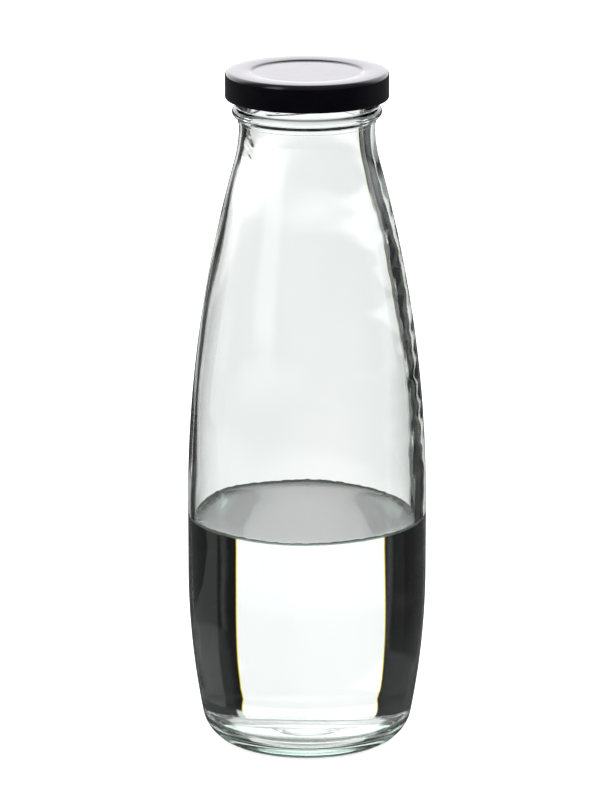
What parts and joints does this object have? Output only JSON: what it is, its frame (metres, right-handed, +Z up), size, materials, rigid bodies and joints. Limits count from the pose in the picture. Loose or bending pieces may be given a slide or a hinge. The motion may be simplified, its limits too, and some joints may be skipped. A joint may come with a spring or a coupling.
{
  "type": "glass milk bottle",
  "caption": "Tall clear glass milk bottle with a tapered shoulder, beaded neck and black steel twist-off lid, part filled with clear liquid.",
  "frame": {"origin": "centre of the foot on the ground", "axes": "+Z up along the bottle's axis to the lid; the first thread's low end is at 127 degrees clockwise from +X, near the front (-Y)"},
  "size_m": [0.072, 0.072, 0.2065],
  "materials": {
    "clear_glass": "fire-polished, very faint green",
    "clear_liquid": "clear still liquid",
    "seal_compound": "soft satin plastisol",
    "black_lacquer": "gloss black lacquer on steel"
  },
  "bodies": {
    "bottle": {"glass_bottle": "clear_glass", "water": "clear_liquid"},
    "lid_ring": {"lid_seal": "seal_compound"},
    "lid": {"lid_shell": "black_lacquer"}
  },
  "joints": [
    {"name": "lid_lift", "type": "slide", "parent": "bottle", "child": "lid_ring", "axis": [0, 0, 1], "range_m": [0, 0.015]},
    {"name": "lid_turn", "type": "hinge", "parent": "lid_ring", "child": "lid", "pos_m": [0, 0, 0.2], "axis": [0, 0, 1], "range_deg": [0, 360]}
  ],
  "couplings": [
    {"joint": "lid_lift", "follows": "lid_turn", "m_per_rad": 0.0023873}
  ]
}
